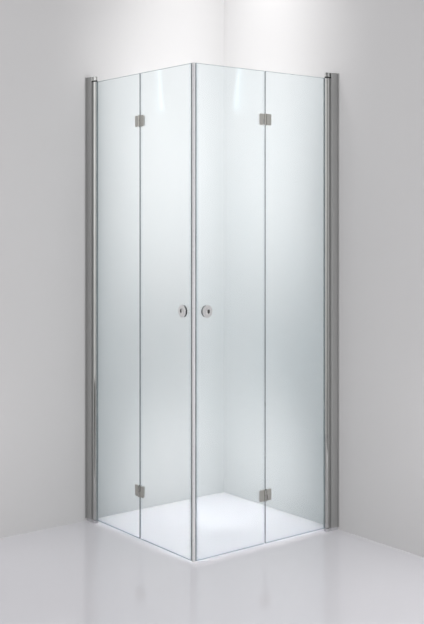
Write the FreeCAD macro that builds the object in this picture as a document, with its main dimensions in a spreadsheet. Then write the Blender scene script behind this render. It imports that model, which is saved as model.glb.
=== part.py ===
import FreeCAD, Part
import os
import re
import Sketcher

# Corner shower enclosure: two mirrored bi-fold glass doors that meet at a magnetic corner.
# Every piece is drawn once, for the right-hand door, in that door's own frame:
#   u runs along the door from the finished wall to the corner
#   v runs outward from the middle of the glass
#   z runs up from the floor
# The left-hand door is the mirror image across the diagonal through the corner.

Vector = FreeCAD.Vector
# Tolerance for picking edges by position, in millimetres
touch = 0.01

# Driving dimensions in millimetres, one spreadsheet row each
dimensions = [
    ("side", 787.0, "finished wall to the outer face of the closed door on the other side"),
    ("height", 2000.0, "floor to the top of the wall channel"),
    ("glass_thick", 6.0, "toughened glass"),
    ("glass_head", 0.5, "top edge of the glass to the black ring"),
    ("floor_gap", 14.5, "floor to the bottom edge of the glass"),
    ("channel_depth", 39.0, "wall channel, wall to front edge"),
    ("channel_width", 24.0, "wall channel, across the door"),
    ("channel_wall", 2.0, "wall channel, metal thickness"),
    ("channel_round", 1.2, "wall channel, rounding of the front edges"),
    ("flange_reach", 9.0, "wall channel, outside flange on the wall"),
    ("flange_round", 0.8, "wall channel, rounding of the flange edge"),
    ("wall_hole_dia", 5.5, "clearance hole for a wall screw"),
    ("wall_pitch_outer", 1700.0, "spacing of the outer pair of wall holes"),
    ("wall_pitch_inner", 560.0, "spacing of the inner pair of wall holes"),
    ("slide_gap", 0.3, "sliding clearance of the telescoping profile"),
    ("carrier_back", 8.0, "wall to the back of the telescoping profile"),
    ("carrier_wall", 1.6, "telescoping profile, metal thickness"),
    ("carrier_inset", 2.0, "neck starts this far behind the channel front"),
    ("neck_width", 13.0, "neck of the telescoping profile"),
    ("pivot_reach", 16.0, "channel front to the pivot axis"),
    ("lock_inset", 142.5, "channel end to the nearest locking screw"),
    ("lock_depth", 22.0, "wall to the locking screws"),
    ("lock_dia", 4.0, "locking screw shank"),
    ("lock_head_dia", 8.0, "locking screw head"),
    ("lock_head_tall", 2.4, "locking screw head height"),
    ("lock_tail", 0.5, "locking screw past the telescoping profile"),
    ("cap_height", 18.0, "top bearing cap above the black ring"),
    ("cap_round", 1.2, "rounding of the top bearing cap"),
    ("ring_thick", 6.0, "black ring of the top bush"),
    ("foot_height", 12.0, "foot under the channel and the tube"),
    ("foot_round", 23.0, "foot, round end under the tube"),
    ("foot_neck", 16.0, "foot, neck between channel and tube"),
    ("foot_fillet", 3.0, "foot, rounding of the upright corners"),
    ("plug_height", 22.0, "locating plugs of the cap and the foot"),
    ("thrust_thick", 2.0, "thrust flange of the lower bush"),
    ("bush_dia", 12.0, "outside of the bearing bushes"),
    ("bush_floor", 3.0, "metal left under the lower bush"),
    ("cap_roof", 5.0, "metal left over the upper bush"),
    ("run_gap", 0.3, "running gap above and below the tube"),
    ("round_gap", 0.5, "running gap around the tube"),
    ("pin_fit", 0.05, "radial running fit of every hinge pin"),
    ("tube_dia", 20.0, "pivot tube"),
    ("pivot_pin_dia", 8.0, "pivot pin and bore of the tube"),
    ("pivot_pin_hold", 32.0, "length of pivot pin inside the tube"),
    ("pin_end_gap", 2.0, "free space at the blind end of a bush"),
    ("lip_reach", 15.0, "pivot axis to the end of the glass lips"),
    ("lip_thick", 1.65, "metal of the glass lips"),
    ("glaze_thick", 0.75, "glazing gasket beside the glass"),
    ("glaze_base", 1.0, "glazing gasket behind the glass"),
    ("glaze_show", 0.5, "glazing gasket beyond the lips"),
    ("glass_start", 6.0, "pivot axis to the hidden edge of the inner pane"),
    ("fold_shift", 5.0, "fold line from the middle of the span, toward the wall"),
    ("fold_gap", 5.0, "gap between the two panes"),
    ("fold_offset", 4.5, "outer glass face to the fold axis"),
    ("hinge_inset", 201.5, "glass end to the middle of a fold hinge"),
    ("hinge_width", 64.0, "fold hinge, overall width"),
    ("hinge_height", 47.0, "fold hinge, overall height"),
    ("hinge_plate", 3.5, "fold hinge plate thickness"),
    ("hinge_corner", 5.0, "fold hinge corner radius"),
    ("back_width", 22.0, "fold line to the far edge of a back plate"),
    ("back_height", 42.0, "back plate height"),
    ("back_corner", 3.0, "back plate corner radius"),
    ("hinge_edge", 0.6, "fold hinge edge rounding"),
    ("hinge_pad", 0.5, "clear pad between hinge and glass"),
    ("pad_inset", 2.5, "clear pad inside the outline of its plate"),
    ("barrel_dia", 12.0, "fold hinge barrel"),
    ("barrel_gap", 0.5, "gap around a barrel half"),
    ("barrel_split", 1.2, "gap between the barrel halves"),
    ("hinge_pin_dia", 5.0, "fold hinge pin"),
    ("hinge_pin_sink", 1.0, "fold hinge pin below the barrel ends"),
    ("notch_gap", 0.5, "notch taller than the hinge, each end"),
    ("back_gap", 8.0, "gap between the two back plates"),
    ("screw_in", 15.0, "fold line to the hinge screws"),
    ("screw_pitch", 26.0, "spacing of the two screws of a hinge half"),
    ("screw_dia", 4.8, "hinge screw shank"),
    ("screw_head_dia", 9.0, "hinge screw head"),
    ("screw_head_tall", 1.8, "hinge screw head height"),
    ("screw_edge", 0.5, "screw head edge"),
    ("screw_gap", 0.1, "clearance around a screw"),
    ("screw_skin", 1.0, "metal left over a blind screw hole"),
    ("glass_hole_dia", 10.0, "glass hole at a hinge screw"),
    ("socket_dia", 3.4, "hexagon socket, across corners"),
    ("socket_deep", 1.2, "hexagon socket depth"),
    ("edge_gap", 11.5, "free glass edge to the corner of the door planes"),
    ("seal_thick", 1.0, "clear seal profile thickness"),
    ("seal_grip", 10.0, "clear seal profile overlap on the glass"),
    ("seam_gap", 0.4, "gap between the two magnetic seals"),
    ("magnet_long", 4.4, "magnet bar width along the seam"),
    ("magnet_shift", 1.0, "magnet bar toward the inside"),
    ("magnet_thick", 2.0, "magnet bar thickness"),
    ("magnet_skin", 0.8, "seal material in front of the magnet"),
    ("drip_grip", 8.0, "bottom seal overlap on the glass"),
    ("drip_clear", 3.0, "bottom seal above the floor"),
    ("drip_fin", 1.0, "bottom seal fin thickness"),
    ("drip_start", 18.0, "pivot axis to the start of the inner bottom seal"),
    ("drip_end_gap", 1.0, "bottom seal to the end of its pane"),
    ("fold_seal_grip", 12.0, "fold seal overlap on the inner pane"),
    ("fold_seal_reach", 7.0, "fold seal reach over the outer pane"),
    ("fold_seal_gap", 0.4, "fold seal to the outer pane"),
    ("fold_seal_clear", 2.0, "fold seal to a hinge"),
    ("knob_corner", 61.0, "knob axis to the corner of the door planes"),
    ("knob_dia", 50.0, "knob"),
    ("knob_rim", 3.0, "knob, height of the disc"),
    ("knob_round", 1.0, "knob, edge rounding"),
    ("boss_tall", 5.0, "knob, height of the boss behind the disc"),
    ("boss_dia", 30.0, "knob, boss diameter"),
    ("boss_gap", 0.3, "black base around the boss"),
    ("dish_dia", 24.0, "knob, dish diameter"),
    ("dish_deep", 3.5, "knob, dish depth"),
    ("base_dia", 48.0, "black base under the knob"),
    ("base_floor", 1.0, "black base and washer, thickness on the glass"),
    ("button_dia", 20.0, "inside button"),
    ("button_tall", 4.0, "inside button, height"),
    ("button_round", 1.0, "inside button, edge rounding"),
    ("washer_dia", 17.0, "black washer under the inside button"),
    ("knob_hole_dia", 12.0, "glass hole at the knob"),
    ("stud_dia", 6.0, "threaded stud"),
    ("stud_hold", 3.0, "stud inside the knob and inside the button"),
    ("stud_gap", 0.2, "clearance of base and washer around the stud"),
    ("collar_gap", 0.2, "clearance of their collars in the glass"),
    ("collar_deep", 2.6, "collar inside the glass"),
]

# Positions that follow from the driving dimensions
positions = {
    "glass_half": "glass_thick / 2",
    "corner": "side - glass_half",
    "channel_half": "channel_width / 2",
    "flange_half": "channel_half + flange_reach",
    "reach": "max(flange_half; knob_front)",
    "middle_x": "(corner - reach) / 2",
    "wall_y": "(corner + reach) / 2",
    "glass_top": "ring_low - glass_head",
    "glass_height": "glass_top - floor_gap",
    "channel_middle": "(foot_height + height) / 2",
    "carrier_half": "channel_half - channel_wall - slide_gap",
    "carrier_front": "channel_depth - carrier_inset",
    "cavity_start": "carrier_back + carrier_wall",
    "cavity_end": "carrier_front - carrier_wall",
    "cavity_half": "carrier_half - carrier_wall",
    "neck_half": "neck_width / 2",
    "pivot": "channel_depth + pivot_reach",
    "tube_half": "tube_dia / 2",
    "neck_end": "pivot - tube_half / 2",
    "ring_low": "height - cap_height - ring_thick",
    "ring_high": "height - cap_height",
    "tube_low": "foot_height + thrust_thick + run_gap",
    "tube_high": "ring_low - run_gap",
    "bush_half": "bush_dia / 2",
    "bush_top": "height - cap_roof",
    "pivot_pin_half": "pivot_pin_dia / 2",
    "slot_half": "glass_half + glaze_thick",
    "lip_half": "slot_half + lip_thick",
    "fold": "pivot + (corner - pivot) / 2 - fold_shift",
    "fold_axis": "glass_half + fold_offset",
    "fold_half": "fold_gap / 2",
    "hinge_low": "floor_gap + hinge_inset",
    "hinge_high": "glass_top - hinge_inset",
    "hinge_half": "hinge_height / 2",
    "back_half": "back_height / 2",
    "strip_clear": "hinge_half + fold_seal_clear",
    "barrel_half": "barrel_dia / 2",
    "barrel_clear": "barrel_half + barrel_gap",
    "hinge_pin_half": "hinge_pin_dia / 2",
    "pad_face": "glass_half + hinge_pad",
    "plate_face": "pad_face + hinge_plate",
    "screw_half": "screw_dia / 2",
    "screw_hole": "screw_half + screw_gap",
    "screw_head_half": "screw_head_dia / 2",
    "screw_head_hole": "screw_head_half + screw_gap",
    "screw_end": "plate_face - screw_skin - screw_gap",
    "inner_edge": "fold - fold_half",
    "outer_edge": "fold + fold_half",
    "free_edge": "corner - edge_gap",
    "seal_half": "glass_half + seal_thick",
    "seam": "corner - seam_gap / 2 * sqrt(2)",
    "knob": "corner - knob_corner",
    "knob_level": "floor_gap + glass_height / 2",
    "knob_seat": "glass_half + base_floor",
    "knob_disc": "knob_seat + boss_tall",
    "knob_front": "knob_disc + knob_rim",
    "button_face": "knob_seat + button_tall",
    "stud_half": "stud_dia / 2",
    "stud_end": "knob_seat + stud_hold",
    "dish_curve": "((dish_dia / 2) ^ 2 + dish_deep ^ 2) / (2 * dish_deep)",
}

sizes = {}
for name, value, meaning in dimensions:
    sizes[name] = value


# Turns a formula in words into an expression on the spreadsheet
def formula(text):
    def swap(match):
        word = match.group(0)
        if word in positions:
            return "(" + formula(positions[word]) + ")"
        if word in sizes:
            return "Sizes." + word
        return word
    return re.sub(r"[A-Za-z_]+", swap, str(text))


doc = FreeCAD.newDocument("corner_shower_enclosure")
sheet = doc.addObject("Spreadsheet::Sheet", "Sizes")
for row, (name, value, meaning) in enumerate(dimensions, start=1):
    sheet.set("A%d" % row, name)
    sheet.set("B%d" % row, str(value))
    sheet.set("C%d" % row, meaning)
    sheet.setAlias("B%d" % row, name)
doc.recompute()


def bind(thing, path, text):
    thing.setExpression(path, formula(text))


# Puts a piece drawn in the door frame into the frame of the whole enclosure
def place(thing):
    thing.Placement = FreeCAD.Placement(Vector(0, 0, 0), FreeCAD.Rotation(Vector(0, 0, 1), -90))
    bind(thing, "Placement.Base.x", "middle_x")
    bind(thing, "Placement.Base.y", "wall_y")


def new_body(label):
    body = doc.addObject("PartDesign::Body", label)
    body.Label = label
    body.AllowCompound = False
    return body


def origin_plane(body, role):
    for feature in body.Origin.OriginFeatures:
        if feature.Role == role:
            return feature
    raise ValueError(role)


def new_sketch(body, role, offset):
    sketch = body.newObject("Sketcher::SketchObject", "Sketch")
    sketch.AttachmentSupport = [(origin_plane(body, role), "")]
    sketch.MapMode = "FlatFace"
    for axis, text in zip("xyz", offset):
        bind(sketch, "AttachmentOffset.Base." + axis, text)
    return sketch


# Closed outline through points given as pairs of formulas
def outline(body, points, role="XY_Plane", offset=("0", "0", "0")):
    sketch = new_sketch(body, role, offset)
    count = len(points)
    # Rough starting points, which the bound constraints then move
    ring = [Vector(20 + 10 * (k % 3), 5 + 5 * k, 0) for k in range(count)]
    for k in range(count):
        sketch.addGeometry(Part.LineSegment(ring[k], ring[(k + 1) % count]), False)
    for k in range(count):
        sketch.addConstraint(Sketcher.Constraint("Coincident", k, 2, (k + 1) % count, 1))
    for k, point in enumerate(points):
        for kind, start, text in zip(("DistanceX", "DistanceY"), ring[k], point):
            number = sketch.addConstraint(Sketcher.Constraint(kind, -1, 1, k, 1, start))
            bind(sketch, "Constraints[%d]" % number, text)
    return sketch


def rectangle(body, low, high, role="XY_Plane", offset=("0", "0", "0")):
    points = [(low[0], low[1]), (high[0], low[1]), (high[0], high[1]), (low[0], high[1])]
    return outline(body, points, role, offset)


# Circles that share one radius, each centre a pair of formulas
def circles(body, centres, radius, role="XY_Plane", offset=("0", "0", "0")):
    sketch = new_sketch(body, role, offset)
    for k, centre in enumerate(centres):
        middle = Vector(10.0, 30.0 * k + 10.0, 0)
        sketch.addGeometry(Part.Circle(middle, Vector(0, 0, 1), 5.0), False)
        number = sketch.addConstraint(Sketcher.Constraint("Radius", k, 5.0))
        bind(sketch, "Constraints[%d]" % number, radius)
        for kind, start, text in zip(("DistanceX", "DistanceY"), middle, centre):
            number = sketch.addConstraint(Sketcher.Constraint(kind, -1, 1, k, 3, start))
            bind(sketch, "Constraints[%d]" % number, text)
    return sketch


def pad(body, sketch, length):
    feature = body.newObject("PartDesign::Pad", "Pad")
    feature.Profile = sketch
    bind(feature, "Length", length)
    body.Tip = feature
    return feature


def pocket(body, sketch, length, reverse=False):
    feature = body.newObject("PartDesign::Pocket", "Pocket")
    feature.Profile = sketch
    bind(feature, "Length", length)
    feature.Reversed = reverse
    body.Tip = feature
    return feature


def pocket_through(body, sketch):
    feature = body.newObject("PartDesign::Pocket", "Pocket")
    feature.Profile = sketch
    feature.Type = "ThroughAll"
    feature.Midplane = True
    body.Tip = feature
    return feature


# Turned shape about an axis along v, profile given as radius and v
def turned(body, profile, along, level):
    sketch = outline(body, profile, "XY_Plane", (along, "0", level))
    feature = body.newObject("PartDesign::Revolution", "Revolution")
    feature.Profile = sketch
    feature.ReferenceAxis = (sketch, ["V_Axis"])
    feature.Angle = 360.0
    body.Tip = feature
    return feature


# Rounds the edges of the newest feature that the test picks out
def round_edges(body, radius, test):
    doc.recompute()
    base = body.Tip
    names = []
    for number, edge in enumerate(base.Shape.Edges, start=1):
        if test(edge):
            names.append("Edge%d" % number)
    if not names:
        raise ValueError("no edges to round on " + body.Label)
    feature = body.newObject("PartDesign::Fillet", "Fillet")
    feature.Base = (base, names)
    bind(feature, "Radius", radius)
    body.Tip = feature
    return feature


def is_line(edge, direction):
    if edge.Curve.TypeId != "Part::GeomLine":
        return False
    return abs(abs(edge.Curve.Direction.dot(direction)) - 1.0) < 1e-6


def is_upright(edge):
    return is_line(edge, Vector(0, 0, 1))


pieces = []


# Ends a piece of the right-hand door and makes its mirror image for the left-hand door
def finish(name, things):
    for thing in things:
        place(thing)
    if len(things) == 1:
        right = things[0]
        right.Label = "right_" + name
    else:
        right = doc.addObject("Part::Compound", "right_" + name)
        right.Label = "right_" + name
        right.Links = things
    left = doc.addObject("Part::Mirroring", "left_" + name)
    left.Label = "left_" + name
    left.Source = right
    left.Normal = Vector(1, 1, 0)
    left.Base = Vector(0, 0, 0)
    pieces.append(right)
    pieces.append(left)


# Wall channel: a U of metal with its back on the finished wall and a flange that covers the joint outside
channel = new_body("wall_channel")
channel_points = [
    ("0", "-channel_half"),
    ("channel_depth", "-channel_half"),
    ("channel_depth", "channel_wall - channel_half"),
    ("channel_wall", "channel_wall - channel_half"),
    ("channel_wall", "channel_half - channel_wall"),
    ("channel_depth", "channel_half - channel_wall"),
    ("channel_depth", "channel_half"),
    ("channel_wall", "channel_half"),
    ("channel_wall", "flange_half"),
    ("0", "flange_half"),
]
pad(channel, outline(channel, channel_points, offset=("0", "0", "foot_height")), "height - foot_height")
wall_levels = [
    "channel_middle - wall_pitch_outer / 2",
    "channel_middle - wall_pitch_inner / 2",
    "channel_middle + wall_pitch_inner / 2",
    "channel_middle + wall_pitch_outer / 2",
]
wall_holes = circles(channel, [("0", level) for level in wall_levels], "wall_hole_dia / 2", "YZ_Plane")
pocket_through(channel, wall_holes)
lock_levels = ["foot_height + lock_inset", "channel_middle", "height - lock_inset"]
lock_centres = [("lock_depth", level) for level in lock_levels]
lock_holes = circles(channel, lock_centres, "lock_dia / 2 + screw_gap", "XZ_Plane")
pocket(channel, lock_holes, "channel_half", True)
doc.recompute()
front = sizes["channel_depth"]
half = sizes["channel_width"] / 2


def is_channel_front(edge):
    middle = edge.CenterOfMass
    return is_upright(edge) and abs(middle.x - front) < touch and abs(abs(middle.y) - half) < touch


round_edges(channel, "channel_round", is_channel_front)
flange_edge = half + sizes["flange_reach"]


def is_flange_edge(edge):
    middle = edge.CenterOfMass
    on_front = abs(middle.x - sizes["channel_wall"]) < touch
    return is_upright(edge) and on_front and abs(middle.y - flange_edge) < touch


round_edges(channel, "flange_round", is_flange_edge)
finish("wall_channel", [channel])

# Telescoping profile: slides in the channel and wraps round the back of the tube
carrier = new_body("sliding_profile")
carrier_points = [
    ("carrier_back", "-carrier_half"),
    ("carrier_front", "-carrier_half"),
    ("carrier_front", "-neck_half"),
    ("neck_end", "-neck_half"),
    ("neck_end", "neck_half"),
    ("carrier_front", "neck_half"),
    ("carrier_front", "carrier_half"),
    ("carrier_back", "carrier_half"),
]
carrier_base = ("0", "0", "foot_height")
pad(carrier, outline(carrier, carrier_points, offset=carrier_base), "ring_low - foot_height")
pocket_through(carrier, circles(carrier, [("pivot", "0")], "tube_half + round_gap"))
cavity_low = ("cavity_start", "-cavity_half")
cavity_high = ("cavity_end", "cavity_half")
pocket_through(carrier, rectangle(carrier, cavity_low, cavity_high))
lock_bores = circles(carrier, lock_centres, "lock_dia / 2 + screw_gap", "XZ_Plane")
pocket(carrier, lock_bores, "channel_half", True)
finish("sliding_profile", [carrier])

# Top bearing cap: closes the channel, carries the upper bush
cap = new_body("top_bearing_cap")
block_low = ("channel_wall + slide_gap", "-carrier_half")
block_high = ("carrier_front", "carrier_half")
pad(cap, rectangle(cap, block_low, block_high, offset=("0", "0", "ring_low")), "height - ring_low")
cap_base = ("0", "0", "ring_high")
neck_low = ("carrier_front - carrier_wall", "-neck_half")
neck_high = ("pivot", "neck_half")
pad(cap, rectangle(cap, neck_low, neck_high, offset=cap_base), "cap_height")
pad(cap, circles(cap, [("pivot", "0")], "tube_half", offset=cap_base), "cap_height")
plug_low = ("cavity_start + slide_gap", "slide_gap - cavity_half")
plug_high = ("cavity_end - slide_gap", "cavity_half - slide_gap")
cap_plug = rectangle(cap, plug_low, plug_high, offset=("0", "0", "ring_low - plug_height"))
pad(cap, cap_plug, "plug_height")
cap_bore = circles(cap, [("pivot", "0")], "bush_half", offset=cap_base)
pocket(cap, cap_bore, "bush_top - ring_high", True)
top_level = sizes["height"]


def is_cap_top(edge):
    return edge.BoundBox.ZMin > top_level - touch


round_edges(cap, "cap_round", is_cap_top)
finish("top_bearing_cap", [cap])

# Foot: moulded base under the channel and the tube, holds the lower bush
foot = new_body("foot")
pad(foot, rectangle(foot, ("0", "-channel_half"), ("channel_depth", "channel_half")), "foot_height")


def is_foot_front(edge):
    middle = edge.CenterOfMass
    return is_upright(edge) and abs(middle.x - front) < touch


round_edges(foot, "foot_fillet", is_foot_front)
foot_neck_low = ("channel_depth - foot_fillet * 2", "-foot_neck / 2")
foot_neck_high = ("pivot", "foot_neck / 2")
pad(foot, rectangle(foot, foot_neck_low, foot_neck_high), "foot_height")
pad(foot, circles(foot, [("pivot", "0")], "foot_round / 2"), "foot_height")
foot_plug = rectangle(foot, plug_low, plug_high, offset=("0", "0", "foot_height"))
pad(foot, foot_plug, "plug_height")
foot_bore = circles(foot, [("pivot", "0")], "bush_half", offset=("0", "0", "bush_floor"))
pocket(foot, foot_bore, "foot_height", True)
finish("foot", [foot])

# Bearing bushes: the upper one with the black ring, the lower one with the thrust flange
upper_bush = new_body("upper_bush")
ring_base = ("0", "0", "ring_low")
ring_neck_low = ("carrier_front", "-neck_half")
pad(upper_bush, rectangle(upper_bush, ring_neck_low, neck_high, offset=ring_base), "ring_thick")
pad(upper_bush, circles(upper_bush, [("pivot", "0")], "tube_half", offset=ring_base), "ring_thick")
upper_sleeve = circles(upper_bush, [("pivot", "0")], "bush_half", offset=ring_base)
pad(upper_bush, upper_sleeve, "bush_top - ring_low")
pocket_through(upper_bush, circles(upper_bush, [("pivot", "0")], "pivot_pin_half + pin_fit"))
lower_bush = new_body("lower_bush")
lower_base = ("0", "0", "bush_floor")
lower_sleeve = circles(lower_bush, [("pivot", "0")], "bush_half", offset=lower_base)
pad(lower_bush, lower_sleeve, "foot_height - bush_floor")
thrust_base = ("0", "0", "foot_height")
pad(lower_bush, circles(lower_bush, [("pivot", "0")], "tube_half", offset=thrust_base), "thrust_thick")
pocket_through(lower_bush, circles(lower_bush, [("pivot", "0")], "pivot_pin_half + pin_fit"))
finish("pivot_bushes", [upper_bush, lower_bush])


# Screw along v with a hexagon socket in its head, which faces the inside of the shower
def screw(label, along, level, head_face, head_tall, head_half, shank_half, end):
    body = new_body(label)
    under = head_face + " + " + head_tall
    profile = [
        ("0", head_face),
        (head_half + " - screw_edge", head_face),
        (head_half, head_face + " + screw_edge"),
        (head_half, under),
        (shank_half, under),
        (shank_half, end),
        ("0", end),
    ]
    turned(body, profile, along, level)
    hexagon = []
    for turn in range(0, 360, 60):
        hexagon.append(("socket_dia / 2 * cos(%d deg)" % turn, "socket_dia / 2 * sin(%d deg)" % turn))
    socket = outline(body, hexagon, "XZ_Plane", (along, level, "-(%s)" % head_face))
    pocket(body, socket, "socket_deep")
    return body


lock_screws = []
for number, level in enumerate(lock_levels, start=1):
    lock_screws.append(screw(
        "lock_screw_%d" % number, "lock_depth", level,
        "-channel_half - lock_head_tall", "lock_head_tall", "lock_head_dia / 2", "lock_dia / 2",
        "carrier_wall - carrier_half + lock_tail"))
finish("locking_screws", lock_screws)

# Pivot tube: round, with a slot and two lips that grip the inner pane
tube = new_body("pivot_tube")
tube_base = ("0", "0", "tube_low")
tube_length = "tube_high - tube_low"
pad(tube, circles(tube, [("pivot", "0")], "tube_half", offset=tube_base), tube_length)
lip_low = ("pivot", "-lip_half")
lip_high = ("pivot + lip_reach", "lip_half")
pad(tube, rectangle(tube, lip_low, lip_high, offset=tube_base), tube_length)
slot_low = ("pivot", "-slot_half")
slot_high = ("pivot + lip_reach", "slot_half")
pocket_through(tube, rectangle(tube, slot_low, slot_high))
pocket_through(tube, circles(tube, [("pivot", "0")], "pivot_pin_half"))
finish("pivot_tube", [tube])

# Pivot pins pressed into both ends of the tube
upper_pin = new_body("upper_pivot_pin")
upper_pin_base = ("0", "0", "tube_high - pivot_pin_hold")
upper_pin_length = "bush_top - pin_end_gap - tube_high + pivot_pin_hold"
upper_pin_circle = circles(upper_pin, [("pivot", "0")], "pivot_pin_half", offset=upper_pin_base)
pad(upper_pin, upper_pin_circle, upper_pin_length)
lower_pin = new_body("lower_pivot_pin")
lower_pin_base = ("0", "0", "bush_floor + pin_end_gap")
lower_pin_length = "tube_low + pivot_pin_hold - bush_floor - pin_end_gap"
lower_pin_circle = circles(lower_pin, [("pivot", "0")], "pivot_pin_half", offset=lower_pin_base)
pad(lower_pin, lower_pin_circle, lower_pin_length)
finish("pivot_pins", [upper_pin, lower_pin])

# Glazing gasket: a U strip between the lips and the inner pane
gasket = new_body("glazing_gasket")
gasket_points = [
    ("pivot + glass_start - glaze_base", "-slot_half"),
    ("pivot + lip_reach + glaze_show", "-slot_half"),
    ("pivot + lip_reach + glaze_show", "-glass_half"),
    ("pivot + glass_start", "-glass_half"),
    ("pivot + glass_start", "glass_half"),
    ("pivot + lip_reach + glaze_show", "glass_half"),
    ("pivot + lip_reach + glaze_show", "slot_half"),
    ("pivot + glass_start - glaze_base", "slot_half"),
]
glass_base = ("0", "0", "floor_gap")
pad(gasket, outline(gasket, gasket_points, offset=glass_base), "glass_height")
finish("glazing_gasket", [gasket])


# Centres of the two screws of one hinge half, the sign telling which leaf it is on
def screw_pair(sign, level):
    along = "fold + %d * screw_in" % sign
    return [(along, level + " - screw_pitch / 2"), (along, level + " + screw_pitch / 2")]


# Pane of glass with two hinge notches in one edge and holes for the hinge screws
def pane(label, start, end, sign):
    body = new_body(label)
    pad(body, rectangle(body, (start, "-glass_half"), (end, "glass_half"), offset=glass_base), "glass_height")
    for level in ("hinge_low", "hinge_high"):
        low = ("fold", level + " - hinge_half - notch_gap")
        high = ("fold + %d * barrel_clear" % sign, level + " + hinge_half + notch_gap")
        pocket_through(body, rectangle(body, low, high, "XZ_Plane"))
    centres = screw_pair(sign, "hinge_low") + screw_pair(sign, "hinge_high")
    pocket_through(body, circles(body, centres, "glass_hole_dia / 2", "XZ_Plane"))
    return body


inner_pane = pane("inner_glass", "pivot + glass_start", "inner_edge", -1)
finish("inner_glass", [inner_pane])
outer_pane = pane("outer_glass", "outer_edge", "free_edge", 1)
pocket_through(outer_pane, circles(outer_pane, [("knob", "knob_level")], "knob_hole_dia / 2", "XZ_Plane"))
finish("outer_glass", [outer_pane])


# One outside hinge half: plate, half a barrel, and blind holes for its two screws
def hinge_plate(label, sign, level, barrel_up, fit):
    body = new_body(label)
    far = "fold + %d * hinge_width / 2" % sign
    near = "fold + %d * barrel_clear" % sign
    bottom = level + " - hinge_half"
    slab = rectangle(body, (near, "pad_face"), (far, "plate_face"), offset=("0", "0", bottom))
    pad(body, slab, "hinge_height")
    doc.recompute()
    box = body.Shape.BoundBox
    far_u = box.XMax if sign > 0 else box.XMin

    def is_plate_corner(edge):
        return is_line(edge, Vector(0, 1, 0)) and abs(edge.CenterOfMass.x - far_u) < touch

    round_edges(body, "hinge_corner", is_plate_corner)

    def is_plate_rim(edge):
        near_side = abs(edge.CenterOfMass.x - far_u) > box.XLength - touch
        return edge.BoundBox.YMin > box.YMax - touch and not near_side

    round_edges(body, "hinge_edge", is_plate_rim)
    half_low = level + " + barrel_split / 2" if barrel_up else bottom
    half_length = "hinge_half - barrel_split / 2"
    half_base = ("0", "0", half_low)
    bridge = "fold + %d * (barrel_clear + hinge_edge)" % sign
    pad(body, rectangle(body, ("fold", "pad_face"), (bridge, "plate_face"), offset=half_base), half_length)
    pad(body, circles(body, [("fold", "fold_axis")], "barrel_half", offset=half_base), half_length)
    pocket_through(body, circles(body, [("fold", "fold_axis")], "hinge_pin_half + " + fit))
    bores = circles(body, screw_pair(sign, level), "screw_hole", "XZ_Plane", ("0", "0", "-pad_face"))
    pocket(body, bores, "hinge_plate - screw_skin")
    return body


# One inside hinge plate with counterbored holes
def back_plate(label, sign, level):
    body = new_body(label)
    far = "fold + %d * back_width" % sign
    near = "fold + %d * back_gap / 2" % sign
    bottom = level + " - back_half"
    slab = rectangle(body, (near, "-plate_face"), (far, "-pad_face"), offset=("0", "0", bottom))
    pad(body, slab, "back_height")
    doc.recompute()
    box = body.Shape.BoundBox

    def is_plate_corner(edge):
        return is_line(edge, Vector(0, 1, 0))

    round_edges(body, "back_corner", is_plate_corner)

    def is_plate_rim(edge):
        return edge.BoundBox.YMax < box.YMin + touch

    round_edges(body, "hinge_edge", is_plate_rim)
    centres = screw_pair(sign, level)
    pocket_through(body, circles(body, centres, "screw_hole", "XZ_Plane"))
    recess = circles(body, centres, "screw_head_hole", "XZ_Plane", ("0", "0", "plate_face"))
    pocket(body, recess, "screw_head_tall")
    return body


# Clear pad between a hinge plate and the glass, on one face of the pane
def hinge_pad(label, sign, level, face, width, tall):
    body = new_body(label)
    far = "fold + %d * (%s - pad_inset)" % (sign, width)
    near = "fold + %d * barrel_clear" % sign
    bottom = level + " - %s / 2 + pad_inset" % tall
    low = (near, "%d * glass_half" % face)
    high = (far, "%d * pad_face" % face)
    pad(body, rectangle(body, low, high, offset=("0", "0", bottom)), tall + " - 2 * pad_inset")
    pocket_through(body, circles(body, screw_pair(sign, level), "screw_hole", "XZ_Plane"))
    return body


levels = [("lower", "hinge_low"), ("upper", "hinge_high")]
for leaf, sign in (("inner", -1), ("outer", 1)):
    plates = []
    backs = []
    pads = []
    screws = []
    for place_name, level in levels:
        tag = leaf + "_" + place_name
        # The inner leaf has the upper half of the lower barrel and the lower half of the upper one
        barrel_up = (leaf == "inner") == (place_name == "lower")
        fit = "pin_fit" if leaf == "inner" else "0"
        plates.append(hinge_plate(tag + "_hinge_plate", sign, level, barrel_up, fit))
        backs.append(back_plate(tag + "_back_plate", sign, level))
        pads.append(hinge_pad(tag + "_outside_pad", sign, level, 1, "hinge_width / 2", "hinge_height"))
        pads.append(hinge_pad(tag + "_inside_pad", sign, level, -1, "back_width", "back_height"))
        for number, (along, height) in enumerate(screw_pair(sign, level), start=1):
            screws.append(screw(
                tag + "_screw_%d" % number, along, height,
                "-plate_face", "screw_head_tall", "screw_head_half", "screw_half", "screw_end"))
    finish(leaf + "_hinge_plates", plates)
    finish(leaf + "_back_plates", backs)
    finish(leaf + "_hinge_pads", pads)
    finish(leaf + "_hinge_screws", screws)

# Fold hinge pins, held by the outer leaf and running in the inner one
hinge_pins = []
for place_name, level in levels:
    pin = new_body(place_name + "_fold_pin")
    pin_base = ("0", "0", level + " - hinge_half + hinge_pin_sink")
    pin_circle = circles(pin, [("fold", "fold_axis")], "hinge_pin_half", offset=pin_base)
    pad(pin, pin_circle, "hinge_height - 2 * hinge_pin_sink")
    hinge_pins.append(pin)
finish("fold_pins", hinge_pins)


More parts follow.
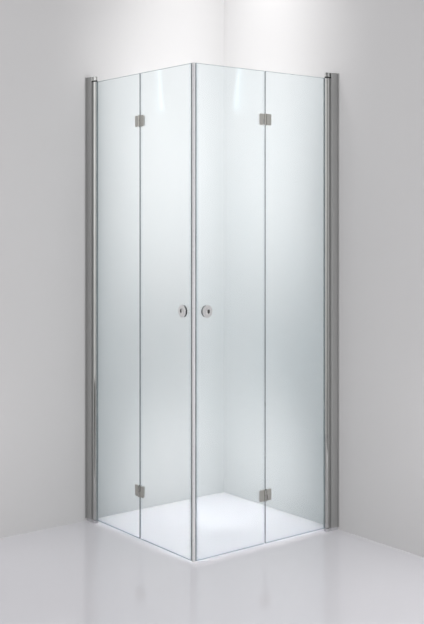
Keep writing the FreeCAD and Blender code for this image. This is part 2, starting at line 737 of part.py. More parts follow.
# Clear drip seal pushed on the bottom edge of a pane
def drip_seal(label, start, end):
    body = new_body(label)
    points = [
        ("-seal_half", "floor_gap + drip_grip"),
        ("-glass_half", "floor_gap + drip_grip"),
        ("-glass_half", "floor_gap"),
        ("glass_half", "floor_gap"),
        ("glass_half", "floor_gap + drip_grip"),
        ("seal_half", "floor_gap + drip_grip"),
        ("seal_half", "floor_gap - seal_thick"),
        ("drip_fin / 2", "floor_gap - seal_thick"),
        ("drip_fin / 2", "drip_clear"),
        ("-drip_fin / 2", "drip_clear"),
        ("-drip_fin / 2", "floor_gap - seal_thick"),
        ("-seal_half", "floor_gap - seal_thick"),
    ]
    pad(body, outline(body, points, "YZ_Plane", ("0", "0", start)), "(%s) - (%s)" % (end, start))
    return body


inner_drip = drip_seal("inner_drip_seal", "pivot + drip_start", "inner_edge - drip_end_gap")
finish("inner_bottom_seal", [inner_drip])
outer_drip_end = "free_edge - seal_grip - drip_end_gap"
outer_drip = drip_seal("outer_drip_seal", "outer_edge + drip_end_gap", outer_drip_end)
finish("outer_bottom_seal", [outer_drip])

# Fold seal: clear strips on the inside of the inner pane that cover the gap between the panes
fold_strips = []
strip_spans = [
    ("low", "floor_gap + drip_grip + drip_end_gap", "hinge_low - strip_clear"),
    ("middle", "hinge_low + strip_clear", "hinge_high - strip_clear"),
    ("high", "hinge_high + strip_clear", "glass_top"),
]
for span, bottom, top in strip_spans:
    strip = new_body("fold_seal_" + span)
    strip_points = [
        ("fold - fold_seal_grip", "-seal_half"),
        ("fold + fold_seal_reach", "-seal_half"),
        ("fold + fold_seal_reach", "-glass_half - fold_seal_gap"),
        ("inner_edge", "-glass_half - fold_seal_gap"),
        ("inner_edge", "-glass_half"),
        ("fold - fold_seal_grip", "-glass_half"),
    ]
    pad(strip, outline(strip, strip_points, offset=("0", "0", bottom)), "(%s) - (%s)" % (top, bottom))
    fold_strips.append(strip)
finish("fold_seal", fold_strips)

# Magnetic seal: grips the free glass edge and meets its neighbour on a 45 degree seam
magnet_seal = new_body("magnet_seal")
seal_points = [
    ("free_edge - seal_grip", "-seal_half"),
    ("seam - seal_half", "-seal_half"),
    ("seam + seal_half", "seal_half"),
    ("free_edge - seal_grip", "seal_half"),
    ("free_edge - seal_grip", "glass_half"),
    ("free_edge", "glass_half"),
    ("free_edge", "-glass_half"),
    ("free_edge - seal_grip", "-glass_half"),
]
pad(magnet_seal, outline(magnet_seal, seal_points, offset=glass_base), "glass_height")
along_low = "(-magnet_long / 2 - magnet_shift) * sqrt(0.5)"
along_high = "(magnet_long / 2 - magnet_shift) * sqrt(0.5)"
deep_low = "magnet_skin * sqrt(0.5)"
deep_high = "(magnet_skin + magnet_thick) * sqrt(0.5)"
bar_points = []
bar_corners = [
    (along_low, deep_low),
    (along_high, deep_low),
    (along_high, deep_high),
    (along_low, deep_high),
]
for along, deep in bar_corners:
    bar_points.append(("seam + %s - %s" % (along, deep), "%s + %s" % (along, deep)))
pocket_through(magnet_seal, outline(magnet_seal, bar_points))
finish("magnet_seal", [magnet_seal])
magnet_bar = new_body("magnet_bar")
pad(magnet_bar, outline(magnet_bar, bar_points, offset=glass_base), "glass_height")
finish("magnet_bar", [magnet_bar])


# Rounds the outer rim of a turned piece
def round_rim(body, radius):
    doc.recompute()
    rim = body.Shape.BoundBox.XLength

    def is_rim(edge):
        return abs(edge.BoundBox.XLength - rim) < touch and edge.BoundBox.YLength < touch

    round_edges(body, radius, is_rim)


# Round knob with a dished front and a boss that takes the stud
knob = new_body("knob")
knob_points = [
    ("stud_half", "knob_seat"),
    ("boss_dia / 2", "knob_seat"),
    ("boss_dia / 2", "knob_disc"),
    ("knob_dia / 2", "knob_disc"),
    ("knob_dia / 2", "knob_front"),
    ("0", "knob_front"),
    ("0", "stud_end"),
    ("stud_half", "stud_end"),
]
turned(knob, knob_points, "knob", "knob_level")
round_rim(knob, "knob_round")
dish = knob.newObject("PartDesign::SubtractiveSphere", "Dish")
dish.AttachmentSupport = [(origin_plane(knob, "XY_Plane"), "")]
dish.MapMode = "FlatFace"
bind(dish, "Radius", "dish_curve")
bind(dish, "AttachmentOffset.Base.x", "knob")
bind(dish, "AttachmentOffset.Base.y", "knob_front - dish_deep + dish_curve")
bind(dish, "AttachmentOffset.Base.z", "knob_level")
knob.Tip = dish
finish("knob", [knob])

# Low round button that holds the knob from the inside
button = new_body("knob_button")
button_points = [
    ("stud_half", "-knob_seat"),
    ("button_dia / 2", "-knob_seat"),
    ("button_dia / 2", "-button_face"),
    ("0", "-button_face"),
    ("0", "-stud_end"),
    ("stud_half", "-stud_end"),
]
turned(button, button_points, "knob", "knob_level")
round_rim(button, "button_round")
finish("knob_button", [button])

# Threaded stud that joins knob and button through the glass
stud = new_body("knob_stud")
stud_points = [
    ("0", "-stud_end"),
    ("stud_half", "-stud_end"),
    ("stud_half", "stud_end"),
    ("0", "stud_end"),
]
turned(stud, stud_points, "knob", "knob_level")
finish("knob_stud", [stud])

# Black base under the knob and black washer under the button, with collars that keep the stud off the glass
knob_base = new_body("knob_base")
base_points = [
    ("stud_half + stud_gap", "glass_half - collar_deep"),
    ("knob_hole_dia / 2 - collar_gap", "glass_half - collar_deep"),
    ("knob_hole_dia / 2 - collar_gap", "glass_half"),
    ("base_dia / 2", "glass_half"),
    ("base_dia / 2", "knob_disc"),
    ("boss_dia / 2 + boss_gap", "knob_disc"),
    ("boss_dia / 2 + boss_gap", "knob_seat"),
    ("stud_half + stud_gap", "knob_seat"),
]
turned(knob_base, base_points, "knob", "knob_level")
button_washer = new_body("button_washer")
washer_points = [
    ("stud_half + stud_gap", "collar_deep - glass_half"),
    ("knob_hole_dia / 2 - collar_gap", "collar_deep - glass_half"),
    ("knob_hole_dia / 2 - collar_gap", "-glass_half"),
    ("washer_dia / 2", "-glass_half"),
    ("washer_dia / 2", "-knob_seat"),
    ("stud_half + stud_gap", "-knob_seat"),
]
turned(button_washer, washer_points, "knob", "knob_level")
finish("knob_bases", [knob_base, button_washer])

doc.recompute()

for thing in doc.Objects:
    for state in ("Invalid", "Error"):
        if state in thing.State:
            raise ValueError("%s is %s" % (thing.Label, state))
for piece in pieces:
    shape = piece.Shape
    if shape.isNull() or not shape.isValid() or not shape.Solids:
        raise ValueError("bad shape: " + piece.Label)

os.makedirs("parts", exist_ok=True)
for piece in pieces:
    piece.Shape.exportStep("parts/%s.step" % piece.Label)
    print(piece.Label, len(piece.Shape.Solids), round(piece.Shape.Volume, 1))
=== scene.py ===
import math

import bmesh
import bpy
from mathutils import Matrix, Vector


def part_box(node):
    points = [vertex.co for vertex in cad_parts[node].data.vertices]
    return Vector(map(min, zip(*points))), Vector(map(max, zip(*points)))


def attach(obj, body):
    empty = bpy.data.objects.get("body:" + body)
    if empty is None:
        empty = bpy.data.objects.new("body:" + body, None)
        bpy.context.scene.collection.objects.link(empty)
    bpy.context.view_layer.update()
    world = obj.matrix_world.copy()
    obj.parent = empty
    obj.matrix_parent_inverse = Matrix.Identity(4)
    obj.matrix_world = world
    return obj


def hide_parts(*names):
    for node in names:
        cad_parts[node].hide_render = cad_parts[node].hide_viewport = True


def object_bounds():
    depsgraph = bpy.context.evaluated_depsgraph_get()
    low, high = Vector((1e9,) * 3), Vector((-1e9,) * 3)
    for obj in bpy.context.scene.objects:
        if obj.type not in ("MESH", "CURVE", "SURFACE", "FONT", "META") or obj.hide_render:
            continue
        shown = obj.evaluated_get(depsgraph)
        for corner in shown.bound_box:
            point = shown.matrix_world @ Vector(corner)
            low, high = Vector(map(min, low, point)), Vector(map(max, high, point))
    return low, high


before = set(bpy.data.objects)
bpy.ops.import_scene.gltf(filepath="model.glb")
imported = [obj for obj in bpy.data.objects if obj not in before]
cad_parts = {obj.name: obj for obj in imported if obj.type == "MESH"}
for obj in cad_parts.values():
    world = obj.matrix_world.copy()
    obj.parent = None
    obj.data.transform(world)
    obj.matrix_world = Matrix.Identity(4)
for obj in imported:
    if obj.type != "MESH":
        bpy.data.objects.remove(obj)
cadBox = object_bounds()
print("frame loaded:", len(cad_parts), "nodes")

scene = bpy.context.scene
scene.view_settings.view_transform = "Standard"

mm = 0.001
sides = ("left", "right")
across = {"left": 1, "right": 0}  # axis through the glass of each door
along = {"left": 0, "right": 1}  # axis from the wall to the corner
towardCorner = {"left": 1.0, "right": -1.0}


# sRGB hex to linear RGBA
def linear(hexCode):
    parts = [int(hexCode[k:k + 2], 16) / 255 for k in (1, 3, 5)]
    return [p / 12.92 if p <= 0.04045 else ((p + 0.055) / 1.055) ** 2.4 for p in parts] + [1.0]


# adds one node: plain settings first, then socket values, then links
def addNode(tree, kind, settings=None, values=None, links=None):
    node = tree.nodes.new(kind)
    for name, value in (settings or {}).items():
        setattr(node, name, value)
    for name, value in (values or {}).items():
        node.inputs[name].default_value = value
    for name, socket in (links or {}).items():
        tree.links.new(socket, node.inputs[name])
    return node


def startMaterial(name):
    material = bpy.data.materials.new(name)
    material.use_nodes = True
    material.node_tree.nodes.clear()
    return material, material.node_tree


# one opaque finish: marks of a real size move colour, roughness and relief a little
def opaqueFinish(name, look, reliefMm=0.1):
    material, tree = startMaterial(name)
    place = addNode(tree, "ShaderNodeTexCoord")
    stretch = addNode(tree, "ShaderNodeMapping", values={"Scale": [1 / (s * mm) for s in look["markMm"]]},
                      links={"Vector": place.outputs["Object"]})
    marks = addNode(tree, "ShaderNodeTexNoise", values={"Scale": 1.0, "Detail": 2.0, "Roughness": 0.55},
                    links={"Vector": stretch.outputs["Vector"]})
    share = addNode(tree, "ShaderNodeMapRange", values={"From Min": 0.3, "From Max": 0.7},
                    links={"Value": marks.outputs["Fac"]})
    tone = addNode(tree, "ShaderNodeMix", {"data_type": "RGBA"}, {6: linear(look["dark"]), 7: linear(look["light"])},
                   {0: share.outputs["Result"]})
    rough = addNode(tree, "ShaderNodeMapRange", values={"To Min": look["rough"][0], "To Max": look["rough"][1]},
                    links={"Value": share.outputs["Result"]})
    relief = addNode(tree, "ShaderNodeBump", values={"Strength": look["bump"], "Distance": reliefMm * mm},
                     links={"Height": marks.outputs["Fac"]})
    shader = addNode(tree, "ShaderNodeBsdfPrincipled", values={"Metallic": look["metal"]},
                     links={"Base Color": tone.outputs[2], "Roughness": rough.outputs["Result"],
                            "Normal": relief.outputs["Normal"]})
    addNode(tree, "ShaderNodeOutputMaterial", links={"Surface": shader.outputs["BSDF"]})
    return material


# clear plastic: nearly all see-through, with a faint body and a soft gloss
def clearFinish(name, look):
    gloss = {"rough": (0.2, 0.4), "vary": 0.3}
    thin, thick = (look["share"] * (1 + sign * gloss["vary"]) for sign in (-1, 1))
    material, tree = startMaterial(name)
    place = addNode(tree, "ShaderNodeTexCoord")
    stretch = addNode(tree, "ShaderNodeMapping", values={"Scale": [1 / (s * mm) for s in look["markMm"]]},
                      links={"Vector": place.outputs["Object"]})
    flow = addNode(tree, "ShaderNodeTexNoise", values={"Scale": 1.0, "Detail": 2.0},
                   links={"Vector": stretch.outputs["Vector"]})
    rough = addNode(tree, "ShaderNodeMapRange", values={"To Min": gloss["rough"][0], "To Max": gloss["rough"][1]},
                    links={"Value": flow.outputs["Fac"]})
    share = addNode(tree, "ShaderNodeMapRange", values={"To Min": thin, "To Max": thick},
                    links={"Value": flow.outputs["Fac"]})
    clear = addNode(tree, "ShaderNodeBsdfTransparent", values={"Color": linear(look["tint"])})
    solid = addNode(tree, "ShaderNodeBsdfPrincipled", values={"Base Color": linear(look["body"])},
                    links={"Roughness": rough.outputs["Result"]})
    mix = addNode(tree, "ShaderNodeMixShader",
                  links={0: share.outputs["Result"], 1: clear.outputs["BSDF"], 2: solid.outputs["BSDF"]})
    addNode(tree, "ShaderNodeOutputMaterial", links={"Surface": mix.outputs["Shader"]})
    return material


# Metals
# aluminium extrusion, satin anodised: soft grey with fine draw lines along its length
channelMetal = opaqueFinish("satinAnodisedAluminium", {"dark": "#939392", "light": "#A0A09F", "rough": (0.36, 0.46),
                                                       "markMm": (0.7, 0.7, 400), "bump": 0.12, "metal": 0.35})
# the telescoping profile is the same metal, painted a shade darker as shade where it sits back in the channel's
# groove
profileMetalPaintedShade = opaqueFinish("satinAnodisedProfilePaintedShade", {"dark": "#8A8A89", "light": "#979796", "rough": (0.36, 0.46),
                                                     "markMm": (0.7, 0.7, 400), "bump": 0.12, "metal": 0.35})
# drawn tube, chromium plated and polished: near mirror with faint wipe marks
tubeChrome = opaqueFinish("polishedChromeTube", {"dark": "#C2C2C0", "light": "#CCCCCA", "rough": (0.05, 0.1),
                                                 "markMm": (9, 9, 120), "bump": 0.0, "metal": 1.0})
# the caps are plated the same way, a touch softer
capChrome = opaqueFinish("polishedChromeCap", {"dark": "#C8C9C8", "light": "#D5D6D4", "rough": (0.08, 0.13),
                                               "markMm": (12, 12, 12), "bump": 0.0, "metal": 1.0})
# die-cast zinc, satin chromium plated: even grey sheen with a fine grain, drawn coarse enough to show
hingeLook = {"dark": "#9B9A95", "light": "#A7A6A1", "rough": (0.4, 0.5),
             "markMm": (1.2, 1.2, 1.2), "bump": 0.05, "metal": 0.3}
hingeChrome = opaqueFinish("satinChromeHinge", hingeLook)
hingeBackChrome = opaqueFinish("satinChromeBackPlate", hingeLook)
# the barrels are turned and polished, so they draw light and dark lines along the fold; their base tone is also set
# lighter than the plates', a painted highlight
barrelChromePaintedHighlight = opaqueFinish("polishedChromeBarrelPaintedHighlight", {"dark": "#A9A8A3", "light": "#B5B4AF", "rough": (0.12, 0.18),
                                                     "markMm": (1.2, 1.2, 0.6), "bump": 0.02, "metal": 1.0})
# the buttons inside are polished and plated like the caps
buttonChrome = opaqueFinish("polishedChromeButton", {"dark": "#CBCBCB", "light": "#D6D6D6", "rough": (0.1, 0.16),
                                                     "markMm": (6, 6, 6), "bump": 0.0, "metal": 1.0})
# stainless fasteners: a little uneven from rolling
screwSteel = opaqueFinish("stainlessScrew", {"dark": "#A9A8A6", "light": "#C2C1BF", "rough": (0.22, 0.34),
                                             "markMm": (0.8, 0.8, 0.8), "bump": 0.0, "metal": 1.0})
# ground pins: fine rings round the pin
pinSteel = opaqueFinish("groundSteelPin", {"dark": "#8C8C8C", "light": "#A0A0A0", "rough": (0.2, 0.3),
                                           "markMm": (4, 4, 0.5), "bump": 0.0, "metal": 1.0})

# Plastics and rubber
# moulded ABS in silver grey: soft gloss and a slight flow pattern
footPlastic = opaqueFinish("silverGreyAbs", {"dark": "#A7A6AA", "light": "#B1B0B4", "rough": (0.32, 0.46),
                                             "markMm": (3, 3, 3), "bump": 0.08, "metal": 0.0})
# black acetal bearing plastic: dull and dense
bushPlastic = opaqueFinish("blackAcetal", {"dark": "#101012", "light": "#1C1C1E", "rough": (0.45, 0.6),
                                           "markMm": (2, 2, 2), "bump": 0.05, "metal": 0.0})
# black nylon under the knob: dull, so the rim of the knob stands out from the glass
knobBasePlastic = opaqueFinish("blackNylon", {"dark": "#0C0C0D", "light": "#161617", "rough": (0.5, 0.65),
                                              "markMm": (1.5, 1.5, 1.5), "bump": 0.06, "metal": 0.0})
# grey silicone glazing strip: matt, slightly streaked along its length
glazingRubber = opaqueFinish("greySilicone", {"dark": "#8F9394", "light": "#9DA1A2", "rough": (0.5, 0.62),
                                              "markMm": (2, 2, 30), "bump": 0.0, "metal": 0.0})
# pale flexible ferrite strip
magnetFerrite = opaqueFinish("paleMagnetStrip", {"dark": "#CFCDCD", "light": "#DAD8D8", "rough": (0.5, 0.6),
                                                 "markMm": (3, 3, 25), "bump": 0.0, "metal": 0.0})
# soft clear PVC: all but invisible from a few steps away
pvcLook = {"body": "#EEF3F5", "tint": "#FDFEFF", "share": 0.02, "markMm": (4, 4, 60)}
dripPvc = clearFinish("clearDripPvc", pvcLook)
foldPvc = clearFinish("clearFoldPvc", pvcLook)
# rubber pads under the hinge plates, coloured dark as painted shade: they close the gap beside the barrel with a dark
# line
padPlasticGapShade = opaqueFinish("hingePadPaintedGapShade", {"dark": "#1E2022", "light": "#2A2C2E", "rough": (0.55, 0.7),
                                           "markMm": (3, 3, 3), "bump": 0.05, "metal": 0.0})
print("finishes made")


# knob face, turned and satin chromium plated: fine rings about its own axis
def knobFinish(side):
    look = {"dark": "#D6D5D6", "light": "#E2E1E2", "rough": (0.14, 0.24), "wearScale": 120.0,
            "ringMm": 0.9, "ringDeepMm": 0.05, "bump": 0.05}  # real rings are finer; drawn to show
    low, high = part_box(side + "_knob")
    flat = [1.0, 1.0, 1.0]
    flat[across[side]] = 0.0
    material, tree = startMaterial("turnedSatinChrome_" + side)
    place = addNode(tree, "ShaderNodeTexCoord")
    centred = addNode(tree, "ShaderNodeMapping", values={"Location": [-(a + b) / 2 for a, b in zip(low, high)]},
                      links={"Vector": place.outputs["Object"]})
    radial = addNode(tree, "ShaderNodeVectorMath", {"operation": "MULTIPLY"}, {1: flat},
                     {0: centred.outputs["Vector"]})
    reach = addNode(tree, "ShaderNodeVectorMath", {"operation": "LENGTH"}, links={0: radial.outputs["Vector"]})
    turns = addNode(tree, "ShaderNodeMath", {"operation": "MULTIPLY"}, {1: 2 * math.pi / (look["ringMm"] * mm)},
                    {0: reach.outputs["Value"]})
    rings = addNode(tree, "ShaderNodeMath", {"operation": "SINE"}, links={0: turns.outputs["Value"]})
    relief = addNode(tree, "ShaderNodeBump", values={"Strength": look["bump"], "Distance": look["ringDeepMm"] * mm},
                     links={"Height": rings.outputs["Value"]})
    wear = addNode(tree, "ShaderNodeTexNoise", values={"Scale": look["wearScale"], "Detail": 2.0},
                   links={"Vector": centred.outputs["Vector"]})
    tone = addNode(tree, "ShaderNodeMix", {"data_type": "RGBA"}, {6: linear(look["dark"]), 7: linear(look["light"])},
                   {0: wear.outputs["Fac"]})
    rough = addNode(tree, "ShaderNodeMapRange", values={"To Min": look["rough"][0], "To Max": look["rough"][1]},
                    links={"Value": wear.outputs["Fac"]})
    shader = addNode(tree, "ShaderNodeBsdfPrincipled", values={"Metallic": 1.0},
                     links={"Base Color": tone.outputs[2], "Roughness": rough.outputs["Result"],
                            "Normal": relief.outputs["Normal"]})
    addNode(tree, "ShaderNodeOutputMaterial", links={"Surface": shader.outputs["BSDF"]})
    return material


# co-extruded seal: clear soft legs that grip the glass, and a pale hard nose that holds the magnet
def magnetSealFinish(side):
    look = {"pale": "#CFCED0", "clear": "#FBFDFE", "rough": (0.22, 0.36), "flowScale": 90.0,
            "legShare": 0.03, "noseShare": 0.92, "noseMm": 8.5, "edgeMm": 0.4}
    other = "right" if side == "left" else "left"
    low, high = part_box(other + "_outer_glass")
    corner = high[0] if side == "left" else low[1]  # outer face of the door on the other side
    way = towardCorner[side]
    start = corner - way * look["noseMm"] * mm
    edge = way * look["edgeMm"] * mm
    material, tree = startMaterial("magnetSealPvc_" + side)
    place = addNode(tree, "ShaderNodeTexCoord")
    apart = addNode(tree, "ShaderNodeSeparateXYZ", links={0: place.outputs["Object"]})
    share = addNode(tree, "ShaderNodeMapRange", {"interpolation_type": "SMOOTHSTEP"},
                    {"From Min": start - edge, "From Max": start + edge,
                     "To Min": look["legShare"], "To Max": look["noseShare"]},
                    {"Value": apart.outputs[along[side]]})
    flow = addNode(tree, "ShaderNodeTexNoise", values={"Scale": look["flowScale"]},
                   links={"Vector": place.outputs["Object"]})
    rough = addNode(tree, "ShaderNodeMapRange", values={"To Min": look["rough"][0], "To Max": look["rough"][1]},
                    links={"Value": flow.outputs["Fac"]})
    clear = addNode(tree, "ShaderNodeBsdfTransparent", values={"Color": linear(look["clear"])})
    solid = addNode(tree, "ShaderNodeBsdfPrincipled", values={"Base Color": linear(look["pale"])},
                    links={"Roughness": rough.outputs["Result"]})
    mix = addNode(tree, "ShaderNodeMixShader",
                  links={0: share.outputs["Result"], 1: clear.outputs["BSDF"], 2: solid.outputs["BSDF"]})
    addNode(tree, "ShaderNodeOutputMaterial", links={"Surface": mix.outputs["Shader"]})
    return material


# 6 mm float glass: clear, with a cool veil on its faces and a mirror that grows at a slant
def glassFinish():
    look = {"tint": "#FDFEFE", "passTint": "#FEFFFF", "veil": "#C6EAF5", "veilShare": 0.075, "veilVary": 0.2,
            "markMm": (180, 180, 320), "rough": 0.02, "mirrorShare": 0.04, "slantPower": 5.0}
    thin, thick = (look["veilShare"] * (1 + sign * look["veilVary"]) for sign in (-1, 1))
    material, tree = startMaterial("clearFloatGlass")
    place = addNode(tree, "ShaderNodeTexCoord")
    stretch = addNode(tree, "ShaderNodeMapping", values={"Scale": [1 / (s * mm) for s in look["markMm"]]},
                      links={"Vector": place.outputs["Object"]})
    film = addNode(tree, "ShaderNodeTexNoise", values={"Scale": 1.0, "Detail": 2.0},
                   links={"Vector": stretch.outputs["Vector"]})
    share = addNode(tree, "ShaderNodeMapRange", values={"To Min": thin, "To Max": thick},
                    links={"Value": film.outputs["Fac"]})
    clear = addNode(tree, "ShaderNodeBsdfTransparent", values={"Color": linear(look["tint"])})
    veil = addNode(tree, "ShaderNodeBsdfDiffuse", values={"Color": linear(look["veil"])})
    body = addNode(tree, "ShaderNodeMixShader",
                   links={0: share.outputs["Result"], 1: clear.outputs["BSDF"], 2: veil.outputs["BSDF"]})
    gloss = addNode(tree, "ShaderNodeBsdfGlossy", values={"Roughness": look["rough"]})
    # the same mirror share on both faces of the pane: little straight on, more at a slant
    slant = addNode(tree, "ShaderNodeLayerWeight", values={"Blend": 0.5})
    steep = addNode(tree, "ShaderNodeMath", {"operation": "POWER"}, {1: look["slantPower"]},
                    {0: slant.outputs["Facing"]})
    mirror = addNode(tree, "ShaderNodeMath", {"operation": "MULTIPLY_ADD"},
                     {1: 1 - look["mirrorShare"], 2: look["mirrorShare"]}, {0: steep.outputs["Value"]})
    pane = addNode(tree, "ShaderNodeMixShader",
                   links={0: mirror.outputs["Value"], 1: body.outputs["Shader"], 2: gloss.outputs["BSDF"]})
    # lamps and bounced light pass straight through, as they nearly do in clear glass
    path = addNode(tree, "ShaderNodeLightPath")
    passes = addNode(tree, "ShaderNodeMath", {"operation": "MAXIMUM"},
                     links={0: path.outputs["Is Shadow Ray"], 1: path.outputs["Is Diffuse Ray"]})
    through = addNode(tree, "ShaderNodeBsdfTransparent", values={"Color": linear(look["passTint"])})
    glass = addNode(tree, "ShaderNodeMixShader",
                    links={0: passes.outputs["Value"], 1: pane.outputs["Shader"], 2: through.outputs["BSDF"]})
    addNode(tree, "ShaderNodeOutputMaterial", links={"Surface": glass.outputs["Shader"]})
    return material


# polished glass edges: light runs along inside the pane, and that look is painted into the edge finishes by the way
# an edge faces:
# an edge that faces the corner gets a painted grey shade, one that faces the wall stays clear, top and bottom get a
# painted thin teal line, and one held in a seal a darker painted shade
faceGlass = glassFinish()
foldEdgePaintedShade = clearFinish("polishedFoldEdgePaintedShade", {"body": "#444B4D", "tint": "#F4F8F8", "share": 0.85,
                                            "markMm": (30, 30, 90)})
wallSideEdge = clearFinish("clearGlassEdge", {"body": "#B9C6C8", "tint": "#FAFCFC", "share": 0.06,
                                              "markMm": (30, 30, 90)})
rimEdgePaintedLight = clearFinish("groundRimEdgePaintedLight", {"body": "#4A686B", "tint": "#F0F6F6", "share": 0.65,
                                        "markMm": (90, 90, 30)})
heldEdgePaintedShade = opaqueFinish("sealedGlassEdgePaintedShade", {"dark": "#5C6365", "light": "#6A7173", "rough": (0.2, 0.3),
                                            "markMm": (30, 30, 90), "bump": 0.0, "metal": 0.0})
knobChrome = {side: knobFinish(side) for side in sides}
magnetPvc = {side: magnetSealFinish(side) for side in sides}

finishByPiece = {
    "wall_channel": channelMetal,
    "sliding_profile": profileMetalPaintedShade,
    "top_bearing_cap": capChrome,
    "foot": footPlastic,
    "pivot_bushes": bushPlastic,
    "locking_screws": screwSteel,
    "pivot_tube": tubeChrome,
    "pivot_pins": pinSteel,
    "glazing_gasket": glazingRubber,
    "inner_hinge_plates": hingeChrome,
    "outer_hinge_plates": hingeChrome,
    "inner_back_plates": hingeBackChrome,
    "outer_back_plates": hingeBackChrome,
    "inner_hinge_pads": padPlasticGapShade,
    "outer_hinge_pads": padPlasticGapShade,
    "inner_hinge_screws": screwSteel,
    "outer_hinge_screws": screwSteel,
    "fold_pins": pinSteel,
    "inner_bottom_seal": dripPvc,
    "outer_bottom_seal": dripPvc,
    "fold_seal": foldPvc,
    "magnet_bar": magnetFerrite,
    "knob_button": buttonChrome,
    "knob_stud": screwSteel,
    "knob_bases": knobBasePlastic,
}
for side in sides:
    pieceFinish = dict(finishByPiece, knob=knobChrome[side], magnet_seal=magnetPvc[side])
    for piece, finish in pieceFinish.items():
        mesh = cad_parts[side + "_" + piece].data
        mesh.materials.clear()
        mesh.materials.append(finish)
print("finishes set on the frame")


# a finished piece: rides on a body and stands for CAD nodes, which it hides
def keepPiece(name, mesh, body, nodes):
    piece = bpy.data.objects.new(name, mesh)
    scene.collection.objects.link(piece)
    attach(piece, body)
    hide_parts(*nodes)


# a merged copy of a CAD node, as a holder for modifiers
def mergedCopy(node, mergeMm=0.005, flatDeg=0.3):
    shape = bmesh.new()
    shape.from_mesh(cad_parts[node].data)
    bmesh.ops.remove_doubles(shape, verts=shape.verts, dist=mergeMm * mm)
    bmesh.ops.dissolve_limit(shape, angle_limit=math.radians(flatDeg), verts=shape.verts, edges=shape.edges)
    mesh = bpy.data.meshes.new(node + "_copy")
    shape.to_mesh(mesh)
    shape.free()
    holder = bpy.data.objects.new(node + "_copy", mesh)
    scene.collection.objects.link(holder)
    return holder


# plain mesh of a holder with its modifiers worked in, and the holder gone
def bakedMesh(holder):
    mesh = bpy.data.meshes.new_from_object(holder.evaluated_get(bpy.context.evaluated_depsgraph_get()))
    bpy.data.objects.remove(holder)
    return mesh


# soft shading on round faces; faces square to the flat axis, if one is given, stay flat
def softMesh(holder, sharpDeg, flatAxis=None, squareLimit=0.999):
    holder.data.shade_smooth()
    holder.data.set_sharp_from_angle(angle=math.radians(sharpDeg))
    if flatAxis is None:
        holder.modifiers.new("weighted", "WEIGHTED_NORMAL").keep_sharp = True
    else:
        for face in holder.data.polygons:
            face.use_smooth = abs(face.normal[flatAxis]) < squareLimit
    return bakedMesh(holder)


# Glass panes with ground edges, made from the frame's panes
def makePane(side, leaf):
    pane = {"arrisMm": 0.8, "arrisSteps": 2, "mergeMm": 0.02, "flatDeg": 1, "sharpDeg": 60,
            "faceLimit": 0.95, "rimLimit": 0.35}
    finishes = {"face": faceGlass, "fold": foldEdgePaintedShade, "rim": rimEdgePaintedLight, "held": heldEdgePaintedShade, "wallSide": wallSideEdge}
    slotOf = list(finishes).index
    node = "%s_%s_glass" % (side, leaf)
    shape = bmesh.new()
    shape.from_mesh(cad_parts[node].data)
    bmesh.ops.remove_doubles(shape, verts=shape.verts, dist=pane["mergeMm"] * mm)
    bmesh.ops.dissolve_limit(shape, angle_limit=math.radians(pane["flatDeg"]), verts=shape.verts, edges=shape.edges)
    sharp = math.radians(pane["sharpDeg"])
    rims = [e for e in shape.edges if e.is_manifold and e.calc_face_angle(0) > sharp]
    bmesh.ops.bevel(shape, geom=rims, offset=pane["arrisMm"] * mm, segments=pane["arrisSteps"], profile=0.5,
                    affect="EDGES")
    bmesh.ops.recalc_face_normals(shape, faces=shape.faces)
    # corner-facing edges take a painted-shade finish, wall-facing ones stay clear, and top and bottom take the
    # painted teal line
    cornerEdge = "held" if leaf == "outer" else "fold"
    for face in shape.faces:
        if abs(face.normal[across[side]]) > pane["faceLimit"]:
            face.material_index = slotOf("face")
        elif abs(face.normal[2]) > pane["rimLimit"]:
            face.material_index = slotOf("rim")
        else:
            facesCorner = face.normal[along[side]] * towardCorner[side] > 0
            face.material_index = slotOf(cornerEdge if facesCorner else "wallSide")
        face.smooth = False
    mesh = bpy.data.meshes.new(node + "_pane")
    shape.to_mesh(mesh)
    shape.free()
    for finish in finishes.values():
        mesh.materials.append(finish)
    keepPiece(node + "_pane", mesh, "%s_%s_leaf" % (side, leaf), [node])


for side in sides:
    for leaf in ("inner", "outer"):
        makePane(side, leaf)
print("panes made")

# Round hardware keeps the frame's shape and gets soft shading
roundPieces = {
    "pivot_tube": {"body": "{side}_inner_leaf", "slot": "tube_chrome", "sharpDeg": 30},
    "top_bearing_cap": {"body": "wall_frame", "slot": "cap_chrome", "sharpDeg": 30},
    "pivot_bushes": {"body": "wall_frame", "slot": "bush_plastic", "sharpDeg": 30},
    "foot": {"body": "wall_frame", "slot": "foot_plastic", "sharpDeg": 30},
    "knob": {"body": "{side}_outer_leaf", "slot": "knob_chrome", "sharpDeg": 25},
    "knob_button": {"body": "{side}_outer_leaf", "slot": "knob_button_chrome", "sharpDeg": 25},
    "knob_bases": {"body": "{side}_outer_leaf", "slot": "knob_base_plastic", "sharpDeg": 30},
}
for side in sides:
    for piece, how in roundPieces.items():
        node = side + "_" + piece
        mesh = softMesh(mergedCopy(node), how["sharpDeg"])
        mesh.materials.append(knobChrome[side] if piece == "knob" else finishByPiece[piece])
        keepPiece(node + "_smooth", mesh, how["body"].format(side=side), [node])
print("round pieces made")


# boxes of the separate solids in one CAD node
def solidBoxes(node, mergeMm=0.005):
    shape = bmesh.new()
    shape.from_mesh(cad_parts[node].data)
    bmesh.ops.remove_doubles(shape, verts=shape.verts, dist=mergeMm * mm)
    left, boxes = set(shape.verts), []
    while left:
        found, edge = set(), [next(iter(left))]
        while edge:
            vert = edge.pop()
            if vert not in found:
                found.add(vert)
                edge.extend(link.other_vert(vert) for link in vert.link_edges)
        left -= found
        boxes.append([[pick(v.co[k] for v in found) for k in range(3)] for pick in (min, max)])
    shape.free()
    return sorted(boxes, key=lambda box: (box[0][2], box[0][0], box[0][1]))
